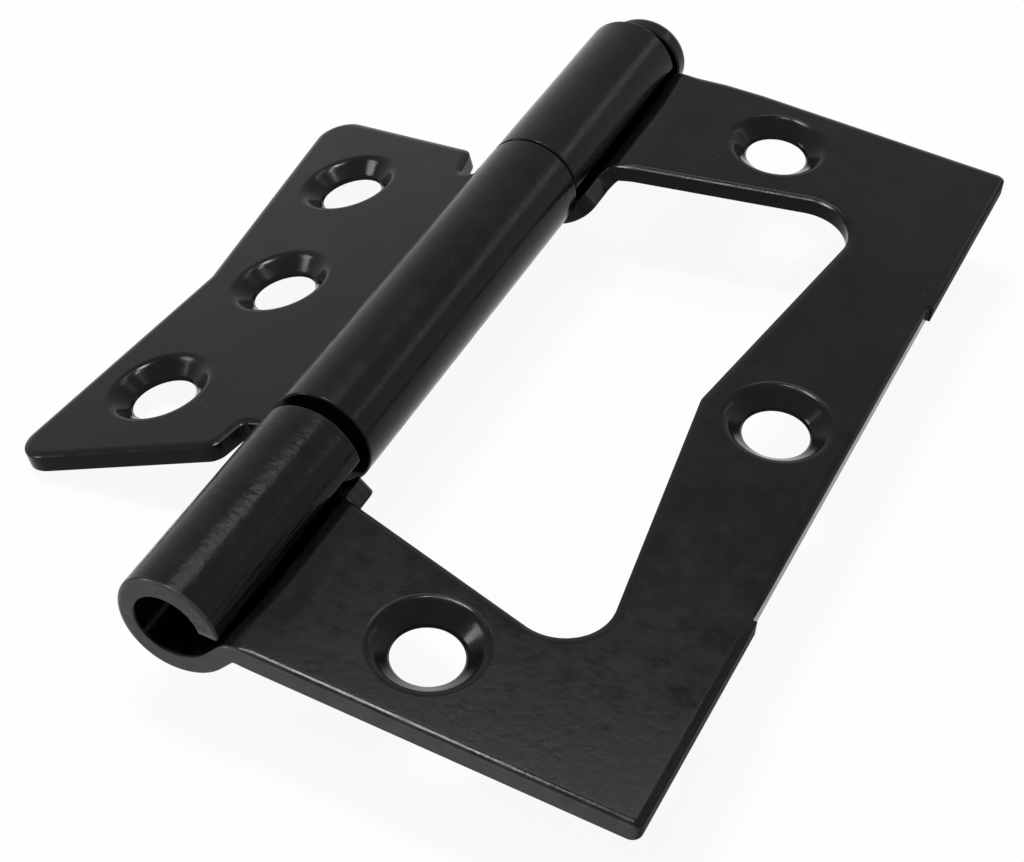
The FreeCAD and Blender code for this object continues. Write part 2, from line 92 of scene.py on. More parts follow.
# The sheet both leaves are made of, in millimetres and degrees
sheetMetal = {
    "gauge": 1.5,
    "knuckleRadius": -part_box("outer_leaf")[0].x / mm,
    "leadInRadius": 5.2,        # the slacker quarter between the roll and the flank
    "flankSlope": 53,
    "crotchRadius": 0.45,
    "freeEndLift": 0.85,        # height of the roll's level cut end over the leaf's middle plane
    "cutEase": 2.5,             # that end eases into the roll over this length
    "spread": (0.5, -0.15),     # how far the flank stands out and down away from the barrel's ends
    "spreadFrom": 7.0,          # coming in over this length from each end
    "spreadEnd": 2.8,           # and dying out over this length past the flank
    "punchRoll": 0.75,          # how wide the upper face runs over at a punched edge
    "punchDrop": 0.26,          # and how far down
    "punchTurn": (0.85, 0.62),  # shares of that width and drop where the tight corner begins
    "sharpRoll": 0.25,          # width of that rounding beside a sharp corner
    "sharpReach": (0.2, 2.4),   # and between which distances from the corner it widens
    "sharpOffset": 1.1,         # a corner whose offset is longer than this is sharp
    "backEdge": 0.05,           # rounding of the edge underneath
    "edgeEase": 1.2,            # a roll's edge turns into a flat leaf's within this length each way
    "knuckleRim": 0.18,         # rounding of a knuckle's outer rim
    "wornRim": 0.38,            # and how much more at the open end, towards the back
    "wornMiddle": 175,          # where round the roll that is strongest
    "wornReach": 105,           # and how far it goes each way
    "boreRim": 0.06,
    "edgePoints": (7, 6, 5, 9),  # over the run, round its corner, down the wall and under it
    "sectionPoints": 8000,      # of the middle line
    "outlineStep": 0.4,         # spacing of the points along an outline
    "cornerStep": 0.12,         # and round its arcs
    "rollStep": 0.22,           # spacing of the face's points round the roll
    "flatStep": 1.3,            # and over the flat leaf
    "stepBreak": (0.3, 1.0),    # past the flank, where the first ends and the second begins
    "edgeRoom": 0.25,           # least distance of those points from an edge
}


class RolledSheet:
    # The middle line of the sheet seen along the pin: its heading is piecewise linear in length,
    # and x and z are the running sums of the heading's cosine and sine. The leaf with a half height
    # has its flank spread and its near end open
    def __init__(self, reach, halfHeight=None):
        s = sheetMetal
        self.halfHeight = halfHeight
        self.openEnd = 0.1 - halfHeight if halfHeight else -math.inf
        half = s["gauge"] / 2
        flank = math.radians(s["flankSlope"])
        roll, lead = s["knuckleRadius"] - half, s["leadInRadius"] - half
        bend = s["crotchRadius"] + half
        # The lead-in arc's centre stands off the pin's axis by the rise, and the flank is the straight
        # tangent from that arc to the crotch's arc, which ends at flatStart in the flat leaf
        rise = s["leadInRadius"] - s["knuckleRadius"]
        drop = bend + rise
        self.flatStart = (lead + bend - drop * math.cos(flank)) / math.sin(flank)
        leadEnd = (lead * math.sin(flank), rise - lead * math.cos(flank))
        bendEnd = (self.flatStart - bend * math.sin(flank), bend * math.cos(flank) - bend)
        slope = math.hypot(bendEnd[0] - leadEnd[0], bendEnd[1] - leadEnd[1])
        self.cutAngle = math.asin(s["freeEndLift"] / roll)
        self.roll = roll
        lengths = [roll * (1.5 * math.pi - self.cutAngle), lead * flank, slope, bend * flank]
        lengths.append(reach - self.flatStart)
        headings = [self.cutAngle - 1.5 * math.pi, 0, flank, flank, 0, 0]
        self.stops = np.concatenate([[0], np.cumsum(lengths)]) - sum(lengths) + reach
        self.headings = np.array(headings)
        self.u = np.linspace(self.stops[0], reach, s["sectionPoints"])
        turn = np.interp(self.u, self.stops, self.headings)
        middle = (turn[1:] + turn[:-1]) / 2
        step = np.diff(self.u)
        self.x = np.concatenate([[0], np.cumsum(np.cos(middle) * step)])
        self.z = np.concatenate([[0], np.cumsum(np.sin(middle) * step)])
        self.x += reach - self.x[-1]
        self.z -= self.z[-1]

    def spread(self, u, y):
        # The share of the flank's shift and its slope along the sheet: a smooth step up from the roll
        # to the flank's foot less a smooth step down past it, and both fade to nothing at the ends
        if not self.halfHeight:
            return 0 * u, 0 * u
        low, top = self.stops[1], self.stops[3]
        high = top + sheetMetal["spreadEnd"]
        rising = np.clip((u - low) / (top - low), 0, 1)
        falling = np.clip((u - top) / (high - top), 0, 1)
        along = smooth((self.halfHeight - np.abs(y)) / sheetMetal["spreadFrom"])
        slope = 6 * rising * (1 - rising) / (top - low) - 6 * falling * (1 - falling) / (high - top)
        return (smooth(rising) - smooth(falling)) * along, slope * along

    def heading(self, u, y):
        # The section's heading, turned by the slope of the flank's shift
        turn = np.interp(u, self.stops, self.headings)
        slope = self.spread(u, y)[1]
        out, down = sheetMetal["spread"]
        return np.arctan2(np.sin(turn) + down * slope, np.cos(turn) + out * slope)

    def place(self, u, y, h):
        # A point stands at height h square to the middle line, which goes on straight past its end. The
        # cut end is level, so it runs a little past the middle line inside the roll and short of it outside
        level = (self.cutAngle - np.arcsin(sheetMetal["freeEndLift"] / (self.roll - h))) * self.roll
        near = np.clip(1 - (u - self.stops[0]) / sheetMetal["cutEase"], 0, 1)
        u = u - level * near ** 2
        turn = self.heading(u, y)
        shift = self.spread(u, y)[0]
        x = np.interp(u, self.u, self.x) + sheetMetal["spread"][0] * shift
        z = np.interp(u, self.u, self.z) + sheetMetal["spread"][1] * shift
        past = np.minimum(u - self.u[0], 0)
        x, z = x + past * np.cos(turn), z + past * np.sin(turn)
        return np.stack([x - h * np.sin(turn), y, z + h * np.cos(turn)], 1)

    def direct(self, u, y, normals):
        # Normals of the flat sheet, turned by the heading
        turn = self.heading(u, y)
        c, s = np.cos(turn), np.sin(turn)
        x, z = normals[:, 0], normals[:, 2]
        return np.stack([x * c - z * s, normals[:, 1], x * s + z * c], 1)


def roundedOutline(corners):
    # A closed outline of corners (u, y, radius): arcs at the corners, and straight runs divided evenly
    cornerStep, runStep = sheetMetal["cornerStep"], sheetMetal["outlineStep"]
    places = np.array([c[:2] for c in corners], float)
    arcs = []
    for i, (u, y, radius) in enumerate(corners):
        corner = places[i]
        before = places[i - 1] - corner
        after = places[(i + 1) % len(corners)] - corner
        before, after = before / np.linalg.norm(before), after / np.linalg.norm(after)
        opening = math.acos(np.clip(before @ after, -1, 1))
        if radius == 0:
            arcs.append(corner[None])
            continue
        middle = (before + after) / np.linalg.norm(before + after)
        centre = corner + middle * radius / math.sin(opening / 2)
        start = corner + before * radius / math.tan(opening / 2) - centre
        turn = math.copysign(math.pi - opening, before[1] * after[0] - before[0] * after[1])
        a = np.linspace(0, turn, max(3, int(abs(turn) * radius / cornerStep) + 2))
        arcs.append(centre + np.stack([start[0] * np.cos(a) - start[1] * np.sin(a),
                                       start[0] * np.sin(a) + start[1] * np.cos(a)], 1))
    points = []
    for arc, following in zip(arcs, arcs[1:] + arcs[:1]):
        points.append(arc)
        run = following[0] - arc[-1]
        t = np.linspace(0, 1, max(2, int(np.linalg.norm(run) / runStep) + 1))[1:-1, None]
        points.append(arc[-1] + run * t)
    return np.concatenate(points)


def outwardOf(points):
    # Each point's outward direction in the flat plane, longer at a sharp corner so that offsets stay parallel
    edge = np.roll(points, -1, 0) - points
    edge /= np.linalg.norm(edge, axis=1)[:, None]
    normal = np.stack([edge[:, 1], -edge[:, 0]], 1)
    mean = normal + np.roll(normal, 1, 0)
    return mean * 2 / (mean ** 2).sum(1)[:, None]


def quarter(start, end, bulge, count):
    # A quarter ellipse from start to end whose corner lies at bulge: cosine of the one, sine of the other
    a = np.linspace(0, math.pi / 2, count)[:, None]
    start, end, bulge = np.array(start), np.array(end), np.array(bulge)
    return bulge + (end - bulge) * np.sin(a) + (start - bulge) * np.cos(a)


def insideOf(points, loop):
    # Crossing rule: a point is inside when a line to one side of it cuts the loop an odd number of times
    x, y = points[:, :1], points[:, 1:]
    (x0, y0), (x1, y1) = loop.T, np.roll(loop, -1, 0).T
    rise = np.where(y1 == y0, 1e-12, y1 - y0)
    crosses = ((y0 > y) != (y1 > y)) & (x < x0 + (y - y0) * (x1 - x0) / rise)
    return crosses.sum(1) % 2 == 1


def cutEdgeProfiles(sheet, loop, outward):
    # One profile for each point of an outline, as offsets inwards and heights: a parabola and a tight
    # quadratic curve over the upper edge, the cut wall, and a quarter ellipse under the lower one. On the
    # flat leaf the punch has drawn the upper edge over; on the roll the lower edge is the round outer rim
    s = sheetMetal
    top = s["gauge"] / 2
    flat = smooth((loop[:, 0] - sheet.flatStart + s["edgeEase"]) / (2 * s["edgeEase"]))
    sharp = loop[np.linalg.norm(outward, axis=1) > s["sharpOffset"]]
    gap = np.sqrt(((loop[:, None] - sharp[None]) ** 2).sum(2).min(1))
    low, high = s["sharpReach"]
    width = s["sharpRoll"] + (s["punchRoll"] - s["sharpRoll"]) * smooth((gap - low) / (high - low))
    over = s["boreRim"] + (width - s["boreRim"]) * flat
    drop = s["boreRim"] + (s["punchDrop"] * width / s["punchRoll"] - s["boreRim"]) * flat
    around = sheet.cutAngle + (loop[:, 0] - sheet.stops[0]) / sheet.roll
    worn = smooth(1 - np.abs(np.degrees(around) - s["wornMiddle"]) / s["wornReach"])
    under = s["knuckleRim"] + s["wornRim"] * worn * (loop[:, 1] < sheet.openEnd)
    under = under + (s["backEdge"] - under) * flat
    runPoints, turnPoints, wallPoints, underPoints = s["edgePoints"]
    a = np.linspace(0, math.pi / 2, underPoints)[:, None]
    t = np.linspace(0, 1, wallPoints)[1:-1, None]
    share, fallen = s["punchTurn"]
    steep = fallen + (1 - share) * 2 * fallen / share   # where the parabola's tangent meets the wall
    run = np.linspace(0, share, runPoints)[:, None]
    turn = np.linspace(0, 1, turnPoints)[1:, None]
    bend = fallen * (run / share) ** 2
    run = np.concatenate([run, share * (1 - turn) ** 2 + 2 * turn * (1 - turn) + turn ** 2])
    bend = np.concatenate([bend, fallen * (1 - turn) ** 2 + 2 * turn * (1 - turn) * steep + turn ** 2])
    offset = np.concatenate([over * (1 - run), 0 * over * t, under * (1 - np.cos(a))])
    height = np.concatenate([top - drop * bend, (top - drop) * (1 - t) + (under - top) * t,
                             under * (1 - np.sin(a)) - top])
    return offset, height


def smooth(t):
    # The cubic step 3 t squared less 2 t cubed, held at 0 and 1 outside
    t = np.clip(t, 0, 1)
    return t * t * (3 - 2 * t)


# The screw holes, in millimetres and degrees
countersink = {
    "mouth": 4.1,          # radius
    "hole": mounts["outer_middle_hole"]["dims"]["r_mm"],
    "angle": 100,          # included
    "lip": 0.38,           # rounding between the leaf's face and the cone
    "foot": 0.12,          # and between the cone and the land
    "landTop": 0.1,        # how far below the cone's foot the land begins
    "landBulge": (0.02, 0.01),
    "backRim": 0.06,
    "points": (9, 8, 4),   # over the lip, down the cone and round each rim of the land
    "segments": 128,
}


def countersinkProfiles(count):
    # From the leaf's face over a soft lip, a parabola, down the cone and past a short land
    c, top = countersink, sheetMetal["gauge"] / 2
    width = c["mouth"] - c["hole"]
    slope = 1 / math.tan(math.radians(c["angle"] / 2))
    foot = top - width * slope
    lipPoints, conePoints, rimPoints = c["points"]
    t = np.linspace(-1, 1, lipPoints)
    lip = np.stack([width - t * c["lip"], top - (c["lip"] * slope / 4) * (t + 1) ** 2], 1)
    coneEnd = (c["foot"], foot + c["foot"] * slope)
    bulge = (c["landBulge"][0], foot + c["landBulge"][1])
    cone = np.linspace(lip[-1], coneEnd, conePoints)[1:]
    land = quarter(coneEnd, (0, foot - c["landTop"]), bulge, rimPoints)[1:]
    under = quarter((0, -top + c["backRim"]), (c["backRim"], -top), (0, -top), rimPoints)
    profile = np.concatenate([lip, cone, land, under])
    return tuple(np.repeat(column[:, None], count, 1) for column in profile.T)


def sheetMesh(sheet, outline, holes):
    # The developed sheet: rings along every edge, each the outline less its outward direction times the
    # profile's offsets, and faces above and below that are filled in between them by triangles
    points, normals, quads = [], [], []
    rims = {1: [], -1: []}
    count = 0
    hole, segments = countersink["hole"], countersink["segments"]
    a = np.linspace(0, -2 * math.pi, segments, endpoint=False)
    loops = [(outline, cutEdgeProfiles(sheet, outline, outwardOf(outline)))]
    for u, y in holes:
        rim = np.stack([u + hole * np.cos(a), y + hole * np.sin(a)], 1)
        loops.append((rim, countersinkProfiles(segments)))
    for loop, (offset, height) in loops:
        outward = outwardOf(loop)
        rings, n = offset.shape
        ring = loop[None] - outward[None] * offset[:, :, None]
        points.append(np.concatenate([ring, height[:, :, None]], 2).reshape(-1, 3))
        # Square to the profile, which runs over the top edge and down the wall
        across, up = -np.gradient(height, axis=0), -np.gradient(offset, axis=0)
        across[[0, -1]], up[0], up[-1] = 0, 1, -1
        flat = outward / np.linalg.norm(outward, axis=1)[:, None]
        normal = np.concatenate([flat[None] * across[:, :, None], up[:, :, None]], 2).reshape(-1, 3)
        normals.append(normal / np.linalg.norm(normal, axis=1)[:, None])
        i = np.arange(n)
        k = np.arange(rings - 1)[:, None] * n + count
        j = (i + 1) % n
        quads.append(np.stack([k + i, k + n + i, k + n + j, k + j], 2).reshape(-1, 4))
        rims[1].append(np.arange(n) + count)
        rims[-1].append(np.arange(n) + count + (rings - 1) * n)
        count += rings * n
    points, normals = np.concatenate(points), np.concatenate(normals)

    reach = outline[:, 0].max()
    low, high = outline[:, 1].min(), outline[:, 1].max()
    lastRolled, firstFlat = (sheet.flatStart + past for past in sheetMetal["stepBreak"])
    rolled = np.arange(outline[:, 0].min(), lastRolled, sheetMetal["rollStep"])
    flat = np.arange(firstFlat, reach, sheetMetal["flatStep"])
    across = np.arange(low, high, sheetMetal["flatStep"])
    grid = np.stack(np.meshgrid(np.concatenate([rolled, flat]), across, indexing="ij"), 2).reshape(-1, 2)
    triangles = []
    for side in (1, -1):
        rim = np.concatenate(rims[side])
        edge = points[rim, :2]
        gap = np.sqrt(((grid[:, None] - edge[None]) ** 2).sum(2).min(1))
        inner = grid[gap > sheetMetal["edgeRoom"]]
        flatPoints = np.concatenate([edge, inner])
        starts = np.cumsum([0] + [len(r) for r in rims[side]])
        runs = [first + np.arange(len(r)) for first, r in zip(starts, rims[side])]
        constraints = np.concatenate([np.stack([run, np.roll(run, -1)], 1) for run in runs]).tolist()
        made = delaunay_2d_cdt([Vector(p) for p in flatPoints], constraints, [], 0, 1e-6, True)
        origin = np.array([o[0] if len(o) else -1 for o in made[3]])
        faces = origin[np.array(made[2])]
        if (origin < 0).any():
            raise RuntimeError("the leaf's face has a crossing")
        middles = flatPoints[faces].mean(1)
        parts = [insideOf(middles, points[r, :2]) for r in rims[side]]
        faces = faces[parts[0] & ~np.any(parts[1:], 0)]
        index = np.concatenate([rim, np.arange(len(inner)) + count])
        height = np.full(len(inner), side * sheetMetal["gauge"] / 2)
        points = np.concatenate([points, np.column_stack([inner, height])])
        normals = np.concatenate([normals, np.tile([0.0, 0.0, side], (len(inner), 1))])
        count += len(inner)
        triangles.append(index[faces if side > 0 else faces[:, ::-1]])
    return points, normals, np.concatenate(quads), np.concatenate(triangles)


def makeObject(name, places, normals, quads, triangles, sheetPlaces):
    # Places in millimetres, as they are. Loose points are dropped, every corner gets the normal that was
    # worked out for its point, and each point keeps its place on the developed sheet for the coating
    used, index = np.unique(np.concatenate([quads.ravel(), triangles.ravel()]), return_inverse=True)
    split = quads.size
    faces = index[:split].reshape(-1, 4).tolist() + index[split:].reshape(-1, 3).tolist()
    mesh = bpy.data.meshes.new(name)
    mesh.from_pydata((places[used] * mm).tolist(), [], faces)
    mesh.polygons.foreach_set("use_smooth", np.ones(len(faces), bool))
    layer = mesh.attributes.new("sheetPlace", "FLOAT_VECTOR", "POINT")
    layer.data.foreach_set("vector", sheetPlaces[used].astype(np.float32).ravel())
    mesh.validate()
    mesh.normals_split_custom_set_from_vertices(normals[used].tolist())
    piece = bpy.data.objects.new(name, mesh)
    scene.collection.objects.link(piece)
    return piece


# The frame-shaped leaf, in millimetres and degrees
outerLeaf = {
    "reach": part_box("outer_leaf")[1].x / mm,
    "halfHeight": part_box("outer_leaf")[1].y / mm,
    "nearKnuckle": 19.2,
    "farKnuckle": 20.7,
    "farSetback": 0.8,        # the far end is drawn in at the roll
    "setbackReach": 5.0,      # as far as here
    "farEase": ((6.8, 0.55), (9.0, 0.2), (12.5, 0.0)),  # and then runs out: reach and setback
    "easeCorners": (2.0, 5.0),  # radii at the first and the later bends of that line
    "shoulderWidth": 2.75,
    "shoulderReach": 5.4,     # where the shoulders' faces meet the flat leaf
    "mouthReach": 4.3,        # where they lie along the sheet, on the flank
    "railWidth": 12.1,
    "windowFlare": 14.5,
    "windowBow": 8.1,
    "windowOffset": 0.17,     # the window is this much nearer the near end
    "cornerRadius": 0.8,
    "windowCorner": 3.9,
    "wallPeak": 2.0,
    "shoulderFillet": 1.4,
    "tabCorner": 1.1,
    "reliefDepth": 0.3,
    "reliefLength": 37.1,
}


def cornerPlace(halfMouth, depth, flare, bow):
    # Where a flared side meets a bowed wall: each half width is the mouth's plus flare times reach,
    # and the reach is the depth plus bow times half width
    halfWidth = (halfMouth + flare * depth) / (1 - flare * bow)
    return depth + bow * halfWidth, halfWidth


def makeOuterLeaf():
    # The outline goes round the sheet: near end, relieved long edge, drawn-in far end, far knuckle, the
    # window's splayed sides and bowed wall, and the near knuckle. The holes stand where the record has them
    leaf = outerLeaf
    sheet = RolledSheet(leaf["reach"], leaf["halfHeight"])
    start, end, half = sheet.stops[0], leaf["reach"], leaf["halfHeight"]
    near, far = leaf["nearKnuckle"] - half, half - leaf["farKnuckle"]
    flare, bow = (math.tan(math.radians(leaf[k])) for k in ("windowFlare", "windowBow"))
    mouth = (far - near) / 2 + leaf["shoulderWidth"]
    depth = end - leaf["railWidth"]
    cornerReach, cornerHalf = cornerPlace(mouth, depth, flare, bow)
    shoulder = leaf["mouthReach"]
    shoulderHalf = mouth + flare * shoulder
    offset = leaf["windowOffset"]
    floor, relief = end - leaf["reliefDepth"], leaf["reliefLength"] / 2
    drawnIn = half - leaf["farSetback"]
    firstEase, laterEase = leaf["easeCorners"]
    outline = roundedOutline([
        (start, -half, 0.0),
        (end, -half, leaf["cornerRadius"]),
        (end, -relief, 0.0),
        (floor, -relief, 0.0),
        (floor, relief, 0.0),
        (end, relief, 0.0),
        (end, half, leaf["cornerRadius"]),
        *[(reach, half - setback, laterEase) for reach, setback in reversed(leaf["farEase"])],
        (leaf["setbackReach"], drawnIn, firstEase),
        (start, drawnIn, 0.0),
        (start, far, 0.0),
        (shoulder, far, leaf["tabCorner"]),
        (shoulder, shoulderHalf - offset, leaf["shoulderFillet"]),
        (cornerReach, cornerHalf - offset, leaf["windowCorner"]),
        (depth, -offset, leaf["wallPeak"]),
        (cornerReach, -cornerHalf - offset, leaf["windowCorner"]),
        (shoulder, -shoulderHalf - offset, leaf["shoulderFillet"]),
        (shoulder, near, leaf["tabCorner"]),
        (start, near, 0.0),
    ])
    ends, middle = mounts["outer_end_holes"], mounts["outer_middle_hole"]
    pitch = ends["dims"]["spacing_y_mm"] / 2
    endReach, row = ends["pos_m"][0] / mm, ends["pos_m"][1] / mm
    middleReach = middle["pos_m"][0] / mm
    holes = [(endReach, row - pitch), (middleReach, row), (endReach, row + pitch)]
    points, normals, quads, triangles = sheetMesh(sheet, outline, holes)
    u, y, h = points.T
    places, normals = sheet.place(u, y, h), sheet.direct(u, y, normals)
    piece = makeObject("outerLeaf", places, normals, quads, triangles, points)
    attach(piece, bodyOf["outer_leaf"])
    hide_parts("outer_leaf")
    return piece


# The small leaf that nests in the window, in millimetres and degrees
innerLeaf = {
    "headSidePlay": 0.15,      # gaps between the knuckles, towards the pin's head
    "openSidePlay": 1.3,       # and towards the open bore
    "sideClearance": 2.1,      # from the window's sides, its wall and its shoulders
    "endClearance": 1.0,
    "shoulderClearance": 1.5,
    "offset": 0.2,             # the leaf's middle is this much nearer the pin's head than its knuckle's
    "bow": 7.1,
    "shoulderSlope": 13,
    "corner": 2.4,
    "peak": 2.0,
    "neckFillet": 0.6,
    "shoulderFillet": 1.4,
    "foldBack": 19.3,
}


def makeInnerLeaf():
    # The outline is the window's own, less the clearances: each sloping shoulder ends where it meets the
    # flared side, at (mouth + flare times reach - neck) / (1 - flare times slope) beyond the neck
    leaf, frameLeaf = innerLeaf, outerLeaf
    half = frameLeaf["halfHeight"]
    near = frameLeaf["nearKnuckle"] - half
    far = half - frameLeaf["farKnuckle"]
    flareAngle = math.radians(frameLeaf["windowFlare"])
    windowBow = math.radians(frameLeaf["windowBow"])
    flare = math.tan(flareAngle)
    bow, slope = (math.tan(math.radians(leaf[k])) for k in ("bow", "shoulderSlope"))
    low, high = near + leaf["openSidePlay"], far - leaf["headSidePlay"]
    neck, middle = (high - low) / 2, (high + low) / 2
    mouth = (far - near) / 2 + frameLeaf["shoulderWidth"] - leaf["sideClearance"] / math.cos(flareAngle)
    depth = frameLeaf["reach"] - frameLeaf["railWidth"] - leaf["endClearance"] / math.cos(windowBow)
    shoulder = frameLeaf["shoulderReach"] + leaf["shoulderClearance"]
    offset = leaf["offset"]
    step = mouth + flare * shoulder - neck
    headStep, openStep = ((step + shift) / (1 - flare * slope) for shift in (offset, -offset))
    cornerReach, cornerHalf = cornerPlace(mouth, depth, flare, bow)
    sheet = RolledSheet(cornerReach)
    start = sheet.stops[0]
    outline = roundedOutline([
        (start, -neck, 0.0),
        (shoulder, -neck, leaf["neckFillet"]),
        (shoulder + slope * headStep, -neck - headStep, leaf["shoulderFillet"]),
        (cornerReach, -cornerHalf - offset, leaf["corner"]),
        (depth, -offset, leaf["peak"]),
        (cornerReach, cornerHalf - offset, leaf["corner"]),
        (shoulder + slope * openStep, neck + openStep, leaf["shoulderFillet"]),
        (shoulder, neck, leaf["neckFillet"]),
        (start, neck, 0.0),
    ])
    # The record's hole centres, turned back into the flat leaf's own plane, whose y runs the other way
    fold = math.radians(leaf["foldBack"])
    out = np.array([-math.cos(fold), 0, -math.sin(fold)])
    up = np.array([-math.sin(fold), 0, math.cos(fold)])
    holes = []
    for name in ("inner_near_hole", "inner_middle_hole", "inner_far_hole"):
        centre = np.array(mounts[name]["pos_m"]) / mm
        holes.append((centre @ out, middle - centre[1]))
    points, normals, quads, triangles = sheetMesh(sheet, outline, holes)

    def turned(v, shift):
        # Out along the leaf, up off its face, and y run the other way about the shift
        return v[:, :1] * out + v[:, 2:] * up + (shift - v[:, 1:2]) * np.array([0, 1.0, 0])

    u, y, h = points.T
    places, normals = turned(sheet.place(u, y, h), middle), turned(sheet.direct(u, y, normals), 0)
    piece = makeObject("innerLeaf", places, normals, quads, triangles, points)
    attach(piece, bodyOf["inner_leaf"])
    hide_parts("inner_leaf")
    return piece


# The headed pin, in millimetres
hingePin = {
    "radius": 2.62,
    "endDepth": 6.0,
    "chamfer": 0.4,
    "headGap": 0.24,
    "headOffset": 0.7,
    "headTilt": 0.07,         # rise across the head, towards the outer leaf
    "headRadius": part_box("hinge_pin")[1].z / mm,
    "headFoot": (0.1, 0.16),  # rounding under the head, inwards and along the pin
    "rim": 1.1,
    "dome": 1.8,
    "buried": 0.3,            # how far the shank's closed top lies inside the head
    "endRings": (0.9, 1.6),   # radii of the rings on the shank's end
    "topRings": (1.5, 0.4),   # on its hidden top
    "seatRings": (0.9, 2.0),  # and under the head
    "points": (6, 24, 13, 30),  # along the chamfer, the shank, the head's foot and its dome
    "segments": 160,
}


def turnedSolid(profile, shift, first):
    # A profile (radius, y) turned about a line along y at x = shift: x is the radius times the cosine of
    # the turn, and z is minus the radius times its sine. Both poles are closed, and points count from first
    a = np.linspace(0, 2 * math.pi, hingePin["segments"], endpoint=False)
    n, rows = len(a), len(profile)
    step = np.gradient(profile, axis=0)
    slope = np.stack([step[:, 1], -step[:, 0]], 1)
    slope /= np.linalg.norm(slope, axis=1)[:, None]

    def swept(pair):
        radius, y = pair[:, :1], np.broadcast_to(pair[:, 1:], (rows, n))
        return np.stack([radius * np.cos(a), y, -radius * np.sin(a)], 2).reshape(-1, 3)

    poles = [(0, profile[0, 1], 0), (0, profile[-1, 1], 0)]
    places = np.concatenate([swept(profile), poles]) + (shift, 0, 0)
    normals = np.concatenate([swept(slope), [(0, -1, 0), (0, 1, 0)]])
    i, k = np.arange(n), np.arange(rows - 1)[:, None] * n
    j = (i + 1) % n
    quads = np.stack([k + i, k + j, k + n + j, k + n + i], 2).reshape(-1, 4)
    last = (rows - 1) * n
    foot = np.stack([np.full(n, rows * n), j, i], 1)
    crown = np.stack([np.full(n, rows * n + 1), last + i, last + j], 1)
    return places, normals, quads + first, np.concatenate([foot, crown]) + first


def makePin():
    # A chamfered shank, and a head that was upset a little off its centre: its dome is half an ellipse,
    # and its tilt moves each point along the pin by the tilt times its offset from the head's middle
    pin = hingePin
    half = outerLeaf["halfHeight"]
    radius, head = pin["radius"], pin["headRadius"]
    chamferPoints, shankPoints, footPoints, domePoints = pin["points"]
    end, seat = pin["endDepth"] - half, half - outerLeaf["farSetback"] + pin["headGap"]
    full, top = end + pin["chamfer"], seat + pin["buried"]
    endFace, topFace = ([(r, y) for r in pin[rings]] for rings, y in (("endRings", end), ("topRings", top)))
    chamfer = quarter((radius - pin["chamfer"], end), (radius, full), (radius, end), chamferPoints)
    shank = np.linspace((radius, full), (radius, top), shankPoints)[1:]
    seatFace = [(r, seat) for r in pin["seatRings"]]
    inwards, along = pin["headFoot"]
    foot = quarter((head - inwards, seat), (head, seat + along), (head, seat), footPoints)
    rise = np.linspace(0, math.pi / 2, domePoints)[:-1]
    dome = np.stack([head * np.cos(rise), seat + pin["rim"] + pin["dome"] * np.sin(rise)], 1)
    lower = turnedSolid(np.concatenate([endFace, chamfer, shank, topFace]), 0.0, 0)
    upper = turnedSolid(np.concatenate([seatFace, foot, dome]), pin["headOffset"], len(lower[0]))
    upper[0][:, 1] += pin["headTilt"] * (upper[0][:, 0] - pin["headOffset"])
    upper[1][:, 0] -= pin["headTilt"] * upper[1][:, 1]
    places, normals, quads, triangles = (np.concatenate(pair) for pair in zip(lower, upper))
    piece = makeObject("hingePin", places, normals, quads, triangles, places)
    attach(piece, bodyOf["hinge_pin"])
    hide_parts("hinge_pin")
    return piece


class Term:
    # One socket of a shader, with the usual signs: an expression on terms adds its Math nodes, and each
    # sign does to every value of the socket what it does to a number
    def __init__(self, shader, socket):
        self.shader, self.socket = shader, socket

    def maths(self, operation, *others):
        return self.shader.node("ShaderNodeMath", {"operation": operation}, [self, *others])

    def __add__(self, other):
        return self.maths("ADD", other)

    def __sub__(self, other):
        return self.maths("SUBTRACT", other)

    def __rsub__(self, other):
        return self.shader.node("ShaderNodeMath", {"operation": "SUBTRACT"}, [other, self])

    def __mul__(self, other):
        return self.maths("MULTIPLY", other)

    __radd__, __rmul__ = __add__, __mul__

    def between(self, low, high):
        # 0 at low, 1 at high, a smooth step between them, whichever is the larger
        settings = {"interpolation_type": "SMOOTHSTEP", "clamp": True}
        return self.shader.node("ShaderNodeMapRange", settings, [self, low, high, 0.0, 1.0])


